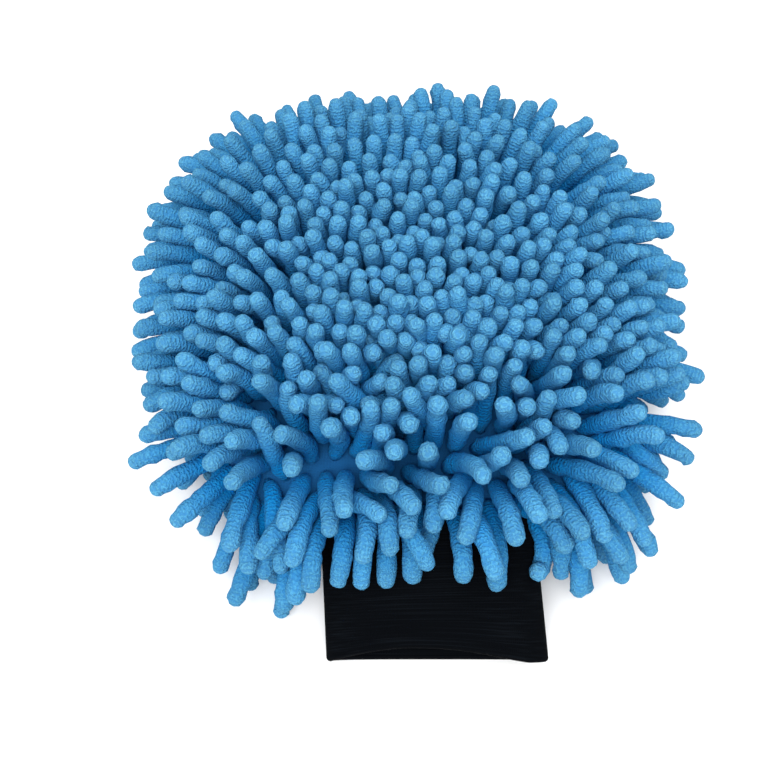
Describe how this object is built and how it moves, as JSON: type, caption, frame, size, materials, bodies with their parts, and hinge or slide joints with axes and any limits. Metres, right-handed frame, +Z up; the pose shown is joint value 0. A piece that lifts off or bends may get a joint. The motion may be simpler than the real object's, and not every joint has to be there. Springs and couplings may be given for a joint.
{
  "type": "wash mitt",
  "caption": "Chenille wash mitt with noodle pile on both faces, an inner lining and a dark elastic knit cuff, lying flat with its mouth open.",
  "frame": {"origin": "centre of the mitt's bounding box, on the surface that it lies on", "axes": "+Z up from the surface, +Y from the cuff's mouth towards the fingertips, +X across the mitt"},
  "size_m": [0.2388, 0.2661, 0.0785],
  "materials": {
    "chenille_pile": "matt split microfibre chenille",
    "pile_backing": "matt knitted backing cloth",
    "lining_mesh": "matt fine mesh lining",
    "seam_thread": "matt sewing thread",
    "lining_thread": "matt sewing thread",
    "cuff_rib": "matt fine knit",
    "elastic_band": "matt woven elastic",
    "cuff_thread": "matt sewing thread"
  },
  "bodies": {
    "mitt": {"top_cloth": "pile_backing", "palm_cloth": "pile_backing", "top_lining": "lining_mesh", "palm_lining": "lining_mesh", "side_seam_thread": "seam_thread", "lining_seam_thread": "lining_thread", "cuff_seam_thread": "seam_thread", "top_row_stitches": "seam_thread", "palm_row_stitches": "seam_thread", "top_noodles_01": "chenille_pile", "top_noodles_02": "chenille_pile", "top_noodles_03": "chenille_pile", "top_noodles_04": "chenille_pile", "top_noodles_05": "chenille_pile", "top_noodles_06": "chenille_pile", "top_noodles_07": "chenille_pile", "top_noodles_08": "chenille_pile", "top_noodles_09": "chenille_pile", "top_noodles_10": "chenille_pile", "top_noodles_11": "chenille_pile", "top_noodles_12": "chenille_pile", "top_noodles_13": "chenille_pile", "top_noodles_14": "chenille_pile", "palm_noodles_01": "chenille_pile", "palm_noodles_02": "chenille_pile", "palm_noodles_03": "chenille_pile", "palm_noodles_04": "chenille_pile", "palm_noodles_05": "chenille_pile", "palm_noodles_06": "chenille_pile", "palm_noodles_07": "chenille_pile", "palm_noodles_08": "chenille_pile", "palm_noodles_09": "chenille_pile", "palm_noodles_10": "chenille_pile", "palm_noodles_11": "chenille_pile", "palm_noodles_12": "chenille_pile", "palm_noodles_13": "chenille_pile", "palm_noodles_14": "chenille_pile"},
    "cuff": {"cuff_knit": "cuff_rib", "cuff_elastic": "elastic_band", "cuff_side_seam": "cuff_thread"}
  },
  "joints": [
    {"name": "cuff_fold", "type": "hinge", "parent": "mitt", "child": "cuff", "pos_m": [0, -0.0834, 0.024], "axis": [1, 0, 0], "range_deg": [-45, 5]}
  ]
}
